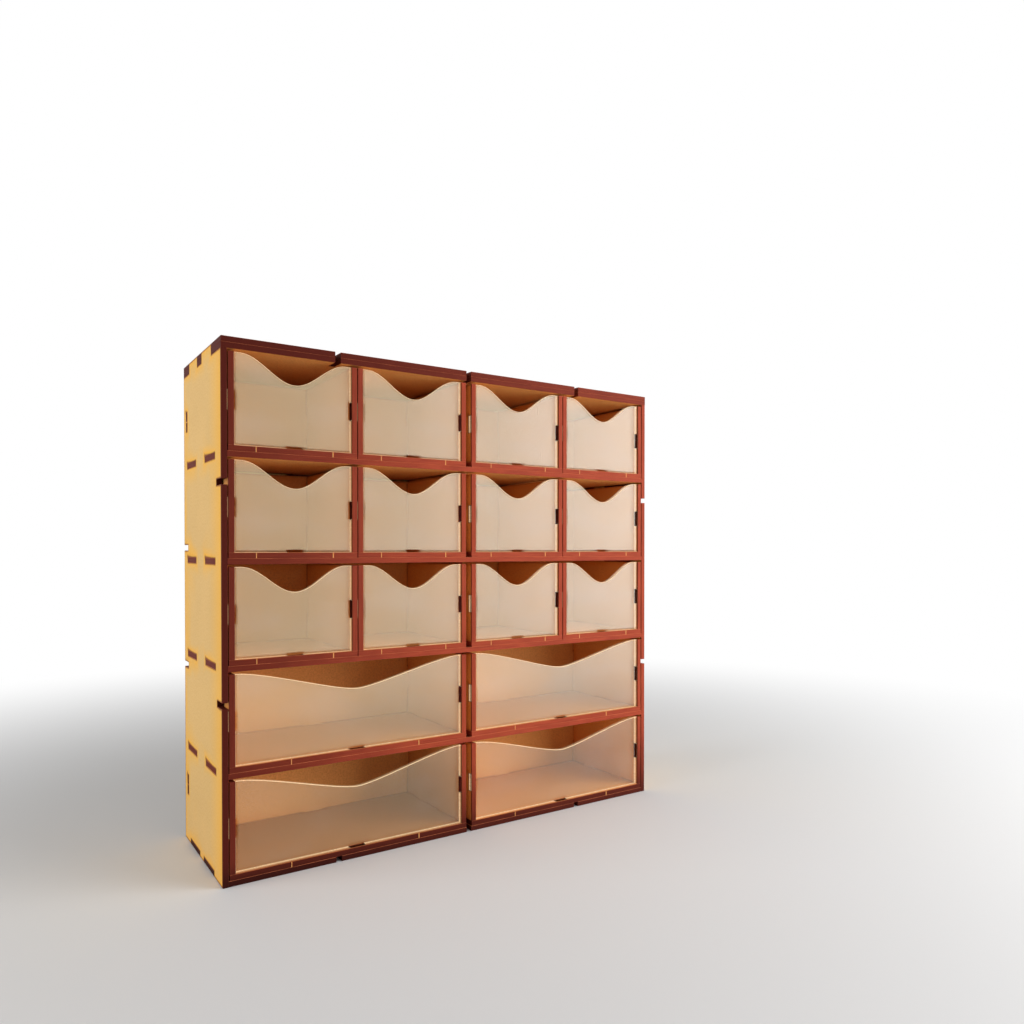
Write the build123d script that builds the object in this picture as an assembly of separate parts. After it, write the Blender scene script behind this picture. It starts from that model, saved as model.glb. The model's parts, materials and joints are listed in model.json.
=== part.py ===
from build123d import *
import os

# Modular drawer display stand: a flat-pack rack of laser-cut fibreboard with sixteen
# pull-out drawers, each with a clear acrylic front. All sizes are in millimetres.
# X runs across the front, Y runs back from the viewer and Z is up. The origin is on
# the floor, in the middle of the footprint.

# Sheet stock
board = 3.0
acrylic = 3.0

# Case
bay_width = 140.5
row_height = 51.8
case_depth = 88.0
top_layers = 2
back_inset = 6.0
divider_setback = 10.0

# Drawers: rows are counted from the top, and every row has the same clear height
small_rows = 3
large_rows = 2
side_gap = 0.5
head_gap = 1.3
rear_gap = 3.0

# Joints between boards
joint_gap = 0.1
shelf_tab_length = 22.0
shelf_tab_front = 13.0
bottom_tab_length = 23.0
bottom_tab_front = 18.0
bottom_tab_rear = 14.5
top_finger_front = 20.0
top_finger_middle = 10.0
top_finger_middle_start = 42.5
top_finger_rear = 14.5
back_tab_height = 11.0
back_tab_inset = 33.2
shelf_back_tab_width = 20.0
divider_tab_length = 20.0

# Edge notches that take the keys between neighbouring modules
key_width = 3.2
key_depth = 10.0
key_pitch_across = 83.0
key_heights_front = (92.5, 206.5)
key_heights_rear = (104.0, 173.0)

# Joints in a drawer
wall_tab_length = 14.0
wall_tab_inset = 16.0
corner_finger_height = 16.0

# Clear front of a drawer
pane_setback = 0.8
pane_tab_height = 10.3
pane_tab_rise = 18.1
pane_foot_width = 9.8
dip_depth = 13.6

# Shape of the dip: the level end on each side, and how long the curve runs level at its
# top and at its bottom, as shares of the way from the end to the middle
small_dip = (3.5, 0.36, 0.36)
large_dip = (0.5, 0.23, 0.19)

# Sizes that follow from those above
rows = small_rows + large_rows
row_pitch = row_height + board
top_thickness = top_layers * board
case_width = 2 * bay_width + 3 * board
case_height = rows * row_pitch + top_thickness
inner_left = -case_width / 2 + board
inner_right = case_width / 2 - board
front_y = -case_depth / 2
rear_y = case_depth / 2
panel_y = rear_y - back_inset - board
top_underside = case_height - top_thickness
lap_y = (front_y + divider_setback + panel_y) / 2
drawer_length = panel_y - front_y - rear_gap
drawer_height = row_height - head_gap
wall_height = drawer_height - board
small_width = (bay_width - 3 * side_gap) / 2
large_width = bay_width - 2 * side_gap


def block(x0, x1, y0, y1, z0, z1):
    """A solid box between two corners."""
    corner = (Align.MIN, Align.MIN, Align.MIN)
    return Pos(x0, y0, z0) * Box(x1 - x0, y1 - y0, z1 - z0, align=corner)


def shelf_underside(level):
    """Height of the underside of a shelf, counted from the lowest."""
    return level * row_pitch


def shelf_tab_spans():
    """Where a shelf's side tabs run from front to back."""
    front = front_y + shelf_tab_front
    return [(front, front + shelf_tab_length), (panel_y - shelf_tab_length, panel_y)]


def bottom_tab_spans():
    """Where the bottom board's side tabs run from front to back."""
    front = front_y + bottom_tab_front
    rear = rear_y - bottom_tab_rear
    return [(front, front + bottom_tab_length), (rear - bottom_tab_length, rear)]


def top_finger_spans():
    """Where the fingers of the top run from front to back."""
    middle = front_y + top_finger_middle_start
    return [
        (front_y, front_y + top_finger_front),
        (middle, middle + top_finger_middle),
        (rear_y - top_finger_rear, rear_y),
    ]


def back_tab_spans():
    """Where the back panel's side tabs run in height."""
    half = back_tab_height / 2
    return [(z - half, z + half) for z in (back_tab_inset, case_height - back_tab_inset)]


def divider_tab_span():
    """Where the divider's tabs in the top and bottom run from front to back."""
    return lap_y - divider_tab_length / 2, lap_y + divider_tab_length / 2


def divider_slot(z0, z1):
    """Slot for one of the divider's tabs in a level board."""
    y0, y1 = divider_tab_span()
    return block(-board / 2, board / 2, y0 - joint_gap, y1 + joint_gap, z0, z1)


def shelf_back_tab_centres():
    """Middle of each tab by which a shelf enters the back panel."""
    bay_middle = (board + bay_width) / 2
    return (-bay_middle, bay_middle)


def key_notches_across(z0, z1):
    """Notches in the front and rear edge of a level board."""
    cuts = []
    for x in (-key_pitch_across, 0.0, key_pitch_across):
        x0, x1 = x - key_width / 2, x + key_width / 2
        cuts.append(block(x0, x1, front_y, front_y + key_depth, z0, z1))
        cuts.append(block(x0, x1, rear_y - key_depth, rear_y, z0, z1))
    return cuts


def side_board(outer_x, inner_x):
    """One side of the case, with mortises for every board that meets it."""
    x0, x1 = min(outer_x, inner_x), max(outer_x, inner_x)
    side = block(x0, x1, front_y, rear_y, 0, case_height)
    cuts = []
    for level in range(1, rows):
        z = shelf_underside(level)
        for y0, y1 in shelf_tab_spans():
            cuts.append(block(x0, x1, y0 - joint_gap, y1 + joint_gap, z, z + board))
    for y0, y1 in bottom_tab_spans():
        cuts.append(block(x0, x1, y0 - joint_gap, y1 + joint_gap, 0, board))
    for y0, y1 in top_finger_spans():
        cuts.append(block(x0, x1, y0 - joint_gap, y1 + joint_gap, top_underside, case_height))
    for z0, z1 in back_tab_spans():
        cuts.append(block(x0, x1, panel_y, panel_y + board, z0 - joint_gap, z1 + joint_gap))
    for z in key_heights_front:
        z0, z1 = z - key_width / 2, z + key_width / 2
        cuts.append(block(x0, x1, front_y, front_y + key_depth, z0, z1))
    for z in key_heights_rear:
        z0, z1 = z - key_width / 2, z + key_width / 2
        cuts.append(block(x0, x1, rear_y - key_depth, rear_y, z0, z1))
    return side - cuts


def top_layer(layer):
    """One of the boards glued face to face into the top, the lowest of which holds the divider."""
    z0 = top_underside + layer * board
    z1 = z0 + board
    plate = block(inner_left, inner_right, front_y, rear_y, z0, z1)
    fingers = []
    for y0, y1 in top_finger_spans():
        fingers.append(block(-case_width / 2, case_width / 2, y0, y1, z0, z1))
    cuts = key_notches_across(z0, z1)
    if layer == 0:
        cuts.append(divider_slot(z0, z1))
    return plate + fingers - cuts


def bottom_board():
    """The floor of the case, between the sides."""
    bottom = block(inner_left, inner_right, front_y, rear_y, 0, board)
    tabs = []
    for y0, y1 in bottom_tab_spans():
        tabs.append(block(-case_width / 2, case_width / 2, y0, y1, 0, board))
    return bottom + tabs - key_notches_across(0, board) - divider_slot(0, board)


def shelf(level):
    """A full-width shelf, slotted from behind to cross the divider."""
    z0 = shelf_underside(level)
    z1 = z0 + board
    plate = block(inner_left, inner_right, front_y, panel_y, z0, z1)
    tabs = []
    for y0, y1 in shelf_tab_spans():
        tabs.append(block(-case_width / 2, case_width / 2, y0, y1, z0, z1))
    for x in shelf_back_tab_centres():
        half = shelf_back_tab_width / 2
        tabs.append(block(x - half, x + half, panel_y, panel_y + board, z0, z1))
    return plate + tabs - block(-board / 2, board / 2, lap_y, panel_y, z0, z1)


def centre_divider():
    """The upright between the two halves, slotted from the front for the shelves."""
    y0 = front_y + divider_setback
    upright = block(-board / 2, board / 2, y0, panel_y, board, top_underside)
    tab_y0, tab_y1 = divider_tab_span()
    tabs = block(-board / 2, board / 2, tab_y0, tab_y1, 0, top_underside + board)
    cuts = []
    for level in range(1, rows):
        z = shelf_underside(level)
        cuts.append(block(-board / 2, board / 2, y0, lap_y, z, z + board))
    return upright + tabs - cuts


def back_panel():
    """The panel that closes the rear, with a slot for every shelf tab."""
    y0, y1 = panel_y, panel_y + board
    panel = block(inner_left, inner_right, y0, y1, board, top_underside)
    tabs = []
    for z0, z1 in back_tab_spans():
        tabs.append(block(-case_width / 2, case_width / 2, y0, y1, z0, z1))
    cuts = []
    half = shelf_back_tab_width / 2 + joint_gap
    for level in range(1, rows):
        z = shelf_underside(level)
        for x in shelf_back_tab_centres():
            cuts.append(block(x - half, x + half, y0, y1, z, z + board))
    return panel + tabs - cuts


def wall_tab_spans():
    """Where a drawer wall's tabs in the floor run from front to back."""
    rear = drawer_length - wall_tab_inset
    return [
        (wall_tab_inset, wall_tab_inset + wall_tab_length),
        (rear - wall_tab_length, rear),
    ]


def drawer_floor(width):
    """Floor of a drawer, with its front edge at Y = 0 and centred across."""
    half = width / 2
    floor = block(-half, half, 0, drawer_length, 0, board)
    cuts = []
    for y0, y1 in wall_tab_spans():
        y0, y1 = y0 - joint_gap, y1 + joint_gap
        cuts.append(block(-half, -half + board, y0, y1, 0, board))
        cuts.append(block(half - board, half, y0, y1, 0, board))
    tab = wall_tab_length / 2 + joint_gap
    cuts.append(block(-tab, tab, drawer_length - board, drawer_length, 0, board))
    foot = pane_foot_width / 2 + joint_gap
    cuts.append(block(-foot, foot, pane_setback, pane_setback + acrylic, 0, board))
    return floor - cuts


def drawer_side(x0):
    """One side wall of a drawer, with a closed slot for the front's tab."""
    x1 = x0 + board
    wall = block(x0, x1, 0, drawer_length, board, drawer_height)
    tabs = [block(x0, x1, y0, y1, 0, board) for y0, y1 in wall_tab_spans()]
    slot_z0 = board + pane_tab_rise - joint_gap
    slot_z1 = board + pane_tab_rise + pane_tab_height + joint_gap
    slot = block(x0, x1, pane_setback, pane_setback + acrylic, slot_z0, slot_z1)
    z0, z1 = corner_finger_span()
    z0, z1 = z0 - joint_gap, z1 + joint_gap
    notch = block(x0, x1, drawer_length - board, drawer_length, z0, z1)
    return wall + tabs - slot - notch


def corner_finger_span():
    """Height of the finger that joins the back wall to each side wall."""
    middle = board + wall_height / 2
    return middle - corner_finger_height / 2, middle + corner_finger_height / 2


def drawer_back(width):
    """Back wall of a drawer, between the side walls."""
    half = width / 2
    inner = half - board - joint_gap
    y0, y1 = drawer_length - board, drawer_length
    wall = block(-inner, inner, y0, y1, board, drawer_height)
    z0, z1 = corner_finger_span()
    fingers = block(-half, half, y0, y1, z0, z1)
    tab = block(-wall_tab_length / 2, wall_tab_length / 2, y0, y1, 0, board)
    return wall + fingers + tab


def drawer_walls(width, place):
    """The two side walls and the back wall in their place, as separate solids."""
    walls = [drawer_side(-width / 2), drawer_side(width / 2 - board), drawer_back(width)]
    return Compound([solid for wall in walls for solid in (place * wall).solids()])


def dipped_edge(half, dip):
    """Top edge of a front from right to left: a smooth dip between two level shoulders."""
    shoulder, level_above, level_below = dip
    reach = half - shoulder
    leave = reach * (1 - level_above)
    bend = reach * level_below
    top = drawer_height
    low = drawer_height - dip_depth
    Line((half, top), (reach, top))
    Bezier((reach, top), (leave, top), (bend, low), (0, low))
    Bezier((0, low), (-bend, low), (-leave, top), (-reach, top))
    Line((-reach, top), (-half, top))


def drawer_front(width, dip):
    """Clear front with a dipped top edge, a tab on each side and a foot below."""
    half = width / 2 - board
    foot = pane_foot_width / 2
    tab_z0 = board + pane_tab_rise
    tab_z1 = tab_z0 + pane_tab_height
    with BuildSketch(Plane.XZ) as outline:
        with BuildLine():
            Polyline((-half, drawer_height), (-half, board), (half, board), (half, drawer_height))
            dipped_edge(half, dip)
        make_face()
    body = Pos(0, pane_setback, 0) * extrude(outline.sketch, amount=-acrylic)
    y0, y1 = pane_setback, pane_setback + acrylic
    tabs = block(-width / 2, width / 2, y0, y1, tab_z0, tab_z1)
    return body + tabs + block(-foot, foot, y0, y1, 0, board)


def drawer_places():
    """Row, column, width, shape of the dip and left edge of every drawer, from the top left."""
    places = []
    for row in range(1, rows + 1):
        small = row <= small_rows
        width = small_width if small else large_width
        dip = small_dip if small else large_dip
        per_bay = 2 if small else 1
        column = 0
        for bay_left in (inner_left, board / 2):
            for place in range(per_bay):
                column += 1
                left = bay_left + side_gap + place * (width + side_gap)
                places.append((row, column, width, dip, left))
    return places


def save(shape, name):
    """Writes one sub-part under its own name."""
    export_step(shape, os.path.join("parts", name + ".step"))


def build_case():
    """Writes the boards of the case."""
    save(side_board(-case_width / 2, inner_left), "side_left")
    save(side_board(case_width / 2, inner_right), "side_right")
    for layer in range(top_layers):
        save(top_layer(layer), f"top_board_{layer + 1}")
    save(bottom_board(), "bottom_board")
    save(centre_divider(), "centre_divider")
    save(back_panel(), "back_panel")
    for level in range(1, rows):
        save(shelf(level), f"shelf_{rows - level}")


def build_drawers():
    """Writes the floor, the walls and the front of every drawer."""
    for row, column, width, dip, left in drawer_places():
        bottom = board + (rows - row) * row_pitch
        place = Pos(left + width / 2, front_y, bottom)
        name = f"drawer_r{row}c{column}"
        save(place * drawer_floor(width), name + "_floor")
        save(drawer_walls(width, place), name + "_walls")
        save(place * drawer_front(width, dip), name + "_front")


os.makedirs("parts", exist_ok=True)
build_case()
build_drawers()
print(f"case {case_width:.1f} x {case_depth:.1f} x {case_height:.1f}")
print(f"drawers {small_width:.1f} and {large_width:.1f} wide, {drawer_height:.1f} high")
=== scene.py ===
"""Dresses the modular drawer display stand: laser-cut fibreboard with sixteen clear-fronted drawers."""

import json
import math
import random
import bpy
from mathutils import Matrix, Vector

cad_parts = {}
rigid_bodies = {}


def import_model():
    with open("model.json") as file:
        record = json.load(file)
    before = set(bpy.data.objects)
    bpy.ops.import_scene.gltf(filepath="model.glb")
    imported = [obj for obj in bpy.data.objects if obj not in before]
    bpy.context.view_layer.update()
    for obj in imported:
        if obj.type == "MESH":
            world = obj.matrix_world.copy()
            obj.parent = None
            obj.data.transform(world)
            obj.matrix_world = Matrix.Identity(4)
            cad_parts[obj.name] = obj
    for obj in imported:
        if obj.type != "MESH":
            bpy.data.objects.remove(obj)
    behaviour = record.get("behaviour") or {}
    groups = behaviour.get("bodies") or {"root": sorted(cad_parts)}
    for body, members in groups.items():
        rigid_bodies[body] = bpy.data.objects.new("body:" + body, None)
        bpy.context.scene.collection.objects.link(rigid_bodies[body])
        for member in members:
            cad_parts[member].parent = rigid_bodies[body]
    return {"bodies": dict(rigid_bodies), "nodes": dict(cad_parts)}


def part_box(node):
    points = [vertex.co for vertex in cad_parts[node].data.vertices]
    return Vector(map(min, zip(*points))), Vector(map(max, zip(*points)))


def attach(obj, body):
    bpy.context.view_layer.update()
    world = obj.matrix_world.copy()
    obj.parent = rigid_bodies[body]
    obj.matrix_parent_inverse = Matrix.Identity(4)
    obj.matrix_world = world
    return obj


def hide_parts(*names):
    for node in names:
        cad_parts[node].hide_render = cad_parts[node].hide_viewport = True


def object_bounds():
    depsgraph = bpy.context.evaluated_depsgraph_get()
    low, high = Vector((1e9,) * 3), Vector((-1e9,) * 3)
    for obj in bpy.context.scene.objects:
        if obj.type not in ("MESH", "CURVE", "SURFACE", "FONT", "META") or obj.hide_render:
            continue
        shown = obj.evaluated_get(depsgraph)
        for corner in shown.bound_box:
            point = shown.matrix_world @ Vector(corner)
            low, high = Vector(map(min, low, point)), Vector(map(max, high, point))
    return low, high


bl_info = {
    "name": "Modular drawer display stand",
    "version": (1, 0, 0),
    "blender": (4, 5, 0),
    "location": "3D View > Sidebar > Stand",
    "description": "Dresses the boards, clear fronts and break marks of a drawer stand, and its stage",
    "category": "Object",
}

from collections import namedtuple

import bmesh
import bpy
import numpy as np
from mathutils import Matrix, Vector
from mathutils.geometry import delaunay_2d_cdt

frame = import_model()
cad_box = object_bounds()


def srgb(*levels):
    """A colour given from 0 to 255, as the linear values that shaders take."""
    shares = [level / 255 for level in levels]
    return [share / 12.92 if share <= 0.04045 else ((share + 0.055) / 1.055) ** 2.4 for share in shares]


MM = 0.001
# The two axes in the plane of a sheet, by the axis through it.
IN_PLANE = ((1, 2), (2, 0), (0, 1))
# Points nearer than this are one point.
MERGE = 1e-6
SHEET_UV = "sheet"
CASE = "case"
DRAWERS = sorted(name for name in frame["bodies"] if name != CASE)
WHITE = (1.0, 1.0, 1.0)
# Colour of the painted shade along the foot of the cut edges.
FOOT_SHADE_COLOUR = srgb(22, 10, 8)
# Colour of the worn broken corners, and of the painted highlight on those that face up.
WORN_AND_LIT_CORNER = srgb(218, 128, 86)
# Fineness of the flecks on a face, on a cut edge and in torn fibre.
FACE_FLECKS, CUT_FLECKS, TORN_FLECKS = 900.0, 1500.0, 2500.0
# Most that a board's pattern is shifted, in metres, so that no two look alike.
SHEET_SPREAD = 4
PANE_SEED = 1000
# Spread of the smoke at a hole's corner, and the points laid round it to draw it.
SMOKE_REACH = 2.0 * MM
SMOKE_RADII = (0.6 * MM, 1.3 * MM, 2.4 * MM, 3.8 * MM)
SMOKE_ANGLES = tuple(math.radians(angle) for angle in (-30, 0, 30, 60, 90, 120))
# Places of the rings of points inside a cut, as shares of the stain's reach.
RING_SHARES = (0.08, 0.22, 0.5, 1.0)
# Share of an edge that a break mark covers, and the marks' heights at the rear of the case.
MARK_COVER = 0.94
MARK_HEIGHTS = (0.2, 0.8)
# Side of the photograph in pixels, the camera's sensor and the nearest it sees.
PHOTO_SIDE = 1024
SENSOR_MM = 36.0
NEAREST = 0.01
# Each soft lamp's name, place, width and height.
LAMPS = (
    ("key", (0.88, -0.6, 0.5), 0.7, 0.7),
    ("fill", (-1.2, 0.1, 0.5), 0.9, 0.9),
    ("sheen", (0.64, -0.74, 0.27), 0.7, 0.5),
)
# Half the floor's side, and the distances over which it fades into the background.
FLOOR_REACH = 6.0
FLOOR_FADE = (0.22, 0.8)


def a_colour(name, description, rgb):
    """A colour that a user can change."""
    return bpy.props.FloatVectorProperty(
        name=name, description=description, subtype="COLOR", size=3, min=0, max=1, default=srgb(*rgb))


def a_length(name, description, default):
    """A length that a user can change, in metres."""
    return bpy.props.FloatProperty(
        name=name, description=description, unit="LENGTH", precision=5, min=0, default=default)


def an_angle(name, description, degrees):
    """An angle that a user can change."""
    return bpy.props.FloatProperty(
        name=name, description=description, subtype="ANGLE", unit="ROTATION", default=math.radians(degrees))


def an_amount(name, description, default, **limits):
    """A share, a strength or a power that a user can change."""
    return bpy.props.FloatProperty(name=name, description=description, min=0, default=default, **limits)


# Settings


class StandBoardSettings(bpy.types.PropertyGroup):
    """Finish of the laser-cut boards."""

    face: a_colour("Face", "Raw face of the board", (221, 182, 116))
    # The inner colours are the same fibreboard painted warmer and more orange, the way it looks in the shade
    # inside the stand.
    inner_face: a_colour("Inner face", "Face of the drawer boards and shelves", (229, 163, 91))
    fleck: a_colour("Fleck", "Darker fibres in the face", (170, 112, 58))
    stain: a_colour("Stain", "What the smoke leaves beside a cut", (244, 178, 40))
    inner_stain: a_colour("Inner stain", "The same on the inner faces", (216, 138, 66))
    # The same colour paints the shade under the boards and at the foot of the inner boards.
    soot: a_colour("Soot", "Heavy smoke on the side that lay below", (104, 46, 22))
    burn: a_colour("Burn", "The face right at a cut", (120, 48, 14))
    char: a_colour("Char", "Darker tone of the cut edge", (124, 46, 32))
    ember: a_colour("Ember", "Lighter tone of the cut edge", (174, 76, 50))
    # Also the colour of the painted shade that deepens the char toward the stand's left and its foot.
    deep_char: a_colour("Deep char", "Cut edge where the laser burnt longest", (74, 25, 18))
    front_reach: a_length("Front reach", "How far the stain spreads from the front edges", 28 * MM)
    arris: a_length("Arris", "Width of the broken corner along every cut", 0.15 * MM)
    stain_reach: a_length("Stain reach", "How far the smoke stain spreads from a cut", 12 * MM)


class StandClearSettings(bpy.types.PropertyGroup):
    """Finish of the clear drawer fronts."""

    tint: a_colour("Tint", "The acrylic and the haze on it", (246, 219, 172))
    edge: a_colour("Edge", "The bright cut edge", (255, 226, 178))
    arris: a_length("Arris", "Width of the broken corner along every cut", 0.22 * MM)
    kerf: a_length("Kerf", "What the laser takes off each cut edge", 0.08 * MM)
    haze: an_amount("Haze", "Share of the light that a front's face stops", 0.255, max=1, subtype="FACTOR")
    # Thinner haze on the lowest fronts paints the weaker light that falls there.
    low_haze: an_amount("Low haze", "The same for the lowest fronts", 0.09, max=1, subtype="FACTOR")
    # Painted glow: emission on the cut edge, for the light that the sheet carries.
    glow: an_amount("Edge glow", "Light that the sheet carries to its cut edge", 0.4)


class StandMarkSettings(bpy.types.PropertyGroup):
    """Marks where a board was broken out of its sheet."""

    fibre: a_colour("Fibre", "The torn fibre", (232, 186, 112))
    toasted: a_colour("Toasted", "The side where the cut began", (196, 104, 36))
    width: a_length("Width", "Width of one mark", 0.5 * MM)
    proud: a_length("Proud", "How far a mark stands out of the cut edge", 0.08 * MM)
    small_inset: a_length("Inset", "From a small drawer's end to its marks", 14 * MM)
    large_inset: a_length("Wide inset", "From a large drawer's end to its marks", 32 * MM)
    seed: bpy.props.IntProperty(name="Seed", description="Seed of the marks' uneven shapes", default=7)


class StandStageSettings(bpy.types.PropertyGroup):
    """Camera, lamps, floor and background."""

    place: bpy.props.FloatVectorProperty(
        name="Camera", description="Place of the camera", subtype="TRANSLATION", unit="LENGTH",
        default=(-0.2439, -0.4540, 0.1722))
    heading: an_angle("Heading", "Turn of the view from straight ahead to the right", 33.89)
    pitch: an_angle("Pitch", "Tilt of the view above level", -0.62)
    focal_pixels: an_amount("Focal length", "Focal length in pixels of the picture", 784.3)
    centre_drop: bpy.props.FloatProperty(
        name="Centre drop", description="How far the optical centre lies below the picture's, in pixels",
        default=45.6)
    floor: a_colour("Floor", "The floor under the stand", (226, 226, 226))
    daylight: an_amount("Daylight", "Strength of the light from all round", 0.3)
    key: an_amount("Key", "Power of the soft lamp on the right, in watts", 4.0)
    fill: an_amount("Fill", "Power of the soft lamp on the left, in watts", 8.0)
    sheen: an_amount("Sheen", "Power of the soft lamp that shines back from the fronts, in watts", 8.0)


# Node helpers


class Wire:
    """What comes out of a node. A sum on it adds the node that works it out."""

    def __init__(self, socket):
        self.socket = socket
        self.tree = socket.id_data

    def __getitem__(self, output):
        return Wire(self.socket.node.outputs[output])

    def __abs__(self):
        return maths("ABSOLUTE", self)

    def __add__(self, other):
        return maths("ADD", self, other)

    def __sub__(self, other):
        return maths("SUBTRACT", self, other)

    def __rsub__(self, other):
        return maths("SUBTRACT", other, self)

    def __mul__(self, other):
        return maths("MULTIPLY", self, other)

    def __pow__(self, other):
        return maths("POWER", self, other)


def feed(node, inputs):
    """Sets a node's inputs, or links them to what comes out of other nodes."""
    for key, value in inputs.items():
        socket = node.inputs[key]
        if isinstance(value, Wire):
            node.id_data.links.new(value.socket, socket)
        else:
            socket.default_value = (*value, 1.0) if socket.type == "RGBA" else value


def add(tree, kind, inputs=None, **settings):
    """The first output of a new node with these settings and inputs."""
    made = tree.nodes.new(kind)
    for name, value in settings.items():
        setattr(made, name, value)
    feed(made, inputs or {})
    return Wire(made.outputs[0])


def maths(operation, first, second=0.0, clamp=False):
    """The result of one sum on two values, at least one of them from a node."""
    tree = first.tree if isinstance(first, Wire) else second.tree
    return add(tree, "ShaderNodeMath", {0: first, 1: second}, operation=operation, use_clamp=clamp)


def larger(first, second):
    """The larger of two values, the first from a node."""
    return maths("MAXIMUM", first, second)


def scaled(value, factor, start):
    """A value times a factor, counted from a start."""
    return add(value.tree, "ShaderNodeMath", {0: value, 1: factor, 2: start}, operation="MULTIPLY_ADD")


def vector_maths(operation, first, second):
    """The result of one sum on two vectors, the first from a node."""
    return add(first.tree, "ShaderNodeVectorMath", {0: first, 1: second}, operation=operation)


def blend(share, first, second):
    """A colour between two others."""
    return add(share.tree, "ShaderNodeMix", {0: share, 6: first, 7: second}, data_type="RGBA")[2]


def fade(value, start, end, low=0.0, high=1.0):
    """A smooth step from low to high as the value goes from start to end."""
    return add(value.tree, "ShaderNodeMapRange", {
        "Value": value, "From Min": start, "From Max": end, "To Min": low, "To Max": high},
        interpolation_type="SMOOTHSTEP", clamp=True)


def fade_out(value, start, end, high=1.0):
    """A smooth step from high down to nothing as the value goes from start to end."""
    return fade(value, start, end, high, 0.0)


def noise(vector, scale, detail=2.0, roughness=0.5):
    """A noise value from 0 to 1 on the given coordinates."""
    return add(vector.tree, "ShaderNodeTexNoise", {
        "Vector": vector, "Scale": scale, "Detail": detail, "Roughness": roughness})


def streaks(vector, along, across, detail=2.0, roughness=0.5):
    """A noise value of its own scale along each axis of the sheet."""
    return noise(vector_maths("MULTIPLY", vector, (along, across, 1.0)), 1.0, detail, roughness)


def stored(tree, name):
    """A value stored on the mesh under this name."""
    return add(tree, "ShaderNodeAttribute", attribute_name=name)["Fac"]


def sheet_coordinates(tree):
    """Places on the sheet in metres, measured along it."""
    return add(tree, "ShaderNodeUVMap", uv_map=SHEET_UV)


def stand_coordinates(tree):
    """Places in the stand in metres."""
    return add(tree, "ShaderNodeTexCoord")["Object"]


def stand_place(tree, axis):
    """One coordinate of a point in the stand, in metres."""
    return add(tree, "ShaderNodeSeparateXYZ", {0: stand_coordinates(tree)})[axis]


def facing(tree, axis):
    """How squarely a face looks along one axis, from -1 to 1."""
    return add(tree, "ShaderNodeSeparateXYZ", {0: add(tree, "ShaderNodeNewGeometry")["Normal"]})[axis]


def bump(height, distance, strength):
    """The normal of fine relief, with its depth in metres."""
    return add(height.tree, "ShaderNodeBump", {"Height": height, "Distance": distance, "Strength": strength})


def new_group(name, kind, inputs, outputs):
    """An empty node group with its sockets, and its two end nodes."""
    tree = bpy.data.node_groups.new(name, kind)
    for way, sockets in (("INPUT", inputs), ("OUTPUT", outputs)):
        for label, socket_kind, *start in sockets:
            socket = tree.interface.new_socket(label, in_out=way, socket_type="NodeSocket" + socket_kind)
            if start:
                socket.default_value = start[0]
    return tree, add(tree, "NodeGroupInput"), tree.nodes.new("NodeGroupOutput")


def effect(tree, build, inputs):
    """A shared effect placed in a tree. It is built once, under the name of the function."""
    group = bpy.data.node_groups.get(build.__name__) or build()
    return add(tree, "ShaderNodeGroup", inputs, node_tree=group)


# Shared effects


def pressed_fibre():
    """Pressed wood fibre: flecks, short hairs and soft clouds."""
    tree, given, result = new_group(
        "pressed_fibre", "ShaderNodeTree",
        [("Vector", "Vector"), ("Fleck Scale", "Float", FACE_FLECKS)],
        [("Fleck", "Float"), ("Hair", "Float"), ("Cloud", "Float"), ("Height", "Float")])
    place = given["Vector"]
    fleck = fade(noise(place, given["Fleck Scale"], detail=4.0, roughness=0.65), 0.38, 0.66)
    swirl = noise(place, 160.0, detail=1.0)["Color"]
    bent = vector_maths("ADD", place, vector_maths("MULTIPLY", swirl, (0.004, 0.004, 0.0)))
    hair = larger(*(fade(streaks(bent, along, across, detail=1.0), 0.6, 0.72)
                    for along, across in ((420.0, 2600.0), (2600.0, 420.0))))
    cloud = fade(noise(place, 22.0, detail=3.0), 0.3, 0.7)
    feed(result, {"Fleck": fleck, "Hair": hair, "Cloud": cloud, "Height": fleck * 0.55 + hair * 0.45})
    return tree


def laser_scorch():
    """Burnt line and smoke stain beside a laser cut, from the distance to it in millimetres."""
    tree, given, result = new_group(
        "laser_scorch", "ShaderNodeTree",
        [("Vector", "Vector"), ("Distance", "Float", 0.0), ("Smoke", "Float", 0.0),
         ("Soot", "Float", 0.0), ("Reach", "Float", 5.0)],
        [("Burn", "Float"), ("Stain", "Float"), ("Soot", "Float")])
    place, smoke = given["Vector"], given["Smoke"]
    near = given["Distance"] + scaled(noise(place, 420.0, detail=3.0), 0.7, -0.35)
    reach = given["Reach"] * fade(noise(place, 38.0), 0.25, 0.75, 0.45, 1.2)
    halo = (1.0 - maths("DIVIDE", near, reach, clamp=True)) ** 1.8
    line = fade_out(near, 0.15, 1.5)
    feed(result, {
        "Burn": maths("ADD", line, fade(smoke, 0.35, 1.0) * 0.75, clamp=True),
        "Stain": maths("ADD", halo, smoke * 0.6, clamp=True),
        "Soot": given["Soot"] * fade_out(near, 4.0, 11.0)})
    return tree


# Materials


def new_material(name):
    """An empty material with a Principled shader on its output."""
    material = bpy.data.materials.new(name)
    material.use_nodes = True
    tree = material.node_tree
    tree.nodes.clear()
    shader = tree.nodes.new("ShaderNodeBsdfPrincipled")
    feed(tree.nodes.new("ShaderNodeOutputMaterial"), {"Surface": Wire(shader.outputs["BSDF"])})
    return material, tree, shader


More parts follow.
